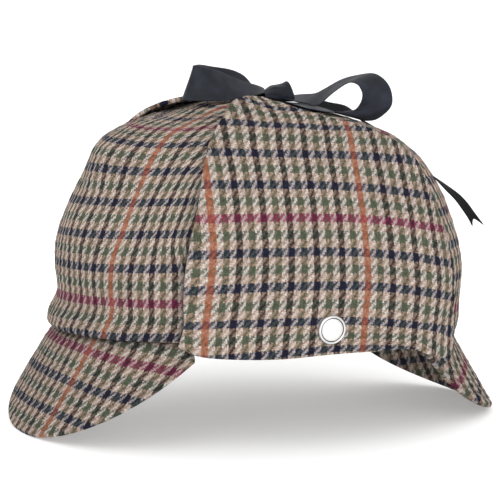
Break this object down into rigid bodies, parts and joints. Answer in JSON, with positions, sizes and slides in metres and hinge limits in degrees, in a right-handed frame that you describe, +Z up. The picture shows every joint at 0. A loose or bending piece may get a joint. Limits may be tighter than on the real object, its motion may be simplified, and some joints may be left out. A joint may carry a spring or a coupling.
{
  "type": "deerstalker hat",
  "caption": "Deerstalker hat in checked wool tweed, stiff peaks front and back, ear flaps tied up over the crown with a dark ribbon bow, and a plain round metal stud on one flap.",
  "frame": {"origin": "middle of the hat's box in plan, on the floor under the lower edges of the two peaks", "axes": "+Z up, -Y towards the front peak, +X towards the wearer's left, the side with the badge"},
  "size_m": [0.1822, 0.272, 0.179],
  "materials": {
    "tweed": "matte brushed wool tweed, checked in cream, tan, green, navy, crimson and orange",
    "ribbon": "soft ribbed ribbon with a low sheen",
    "badge_metal": "satin face with a bright polished rim"
  },
  "bodies": {
    "root": {"crown_front": "tweed", "crown_back": "tweed", "crown_left": "tweed", "crown_right": "tweed", "ear_flap_left": "tweed", "ear_flap_right": "tweed", "front_peak": "tweed", "back_peak": "tweed", "ribbon_loop_back": "ribbon", "ribbon_loop_front": "ribbon", "ribbon_tail_back": "ribbon", "ribbon_tail_side": "ribbon", "ribbon_tie_left": "ribbon", "ribbon_tie_right": "ribbon", "ribbon_knot": "ribbon", "badge": "badge_metal"}
  },
  "joints": []
}
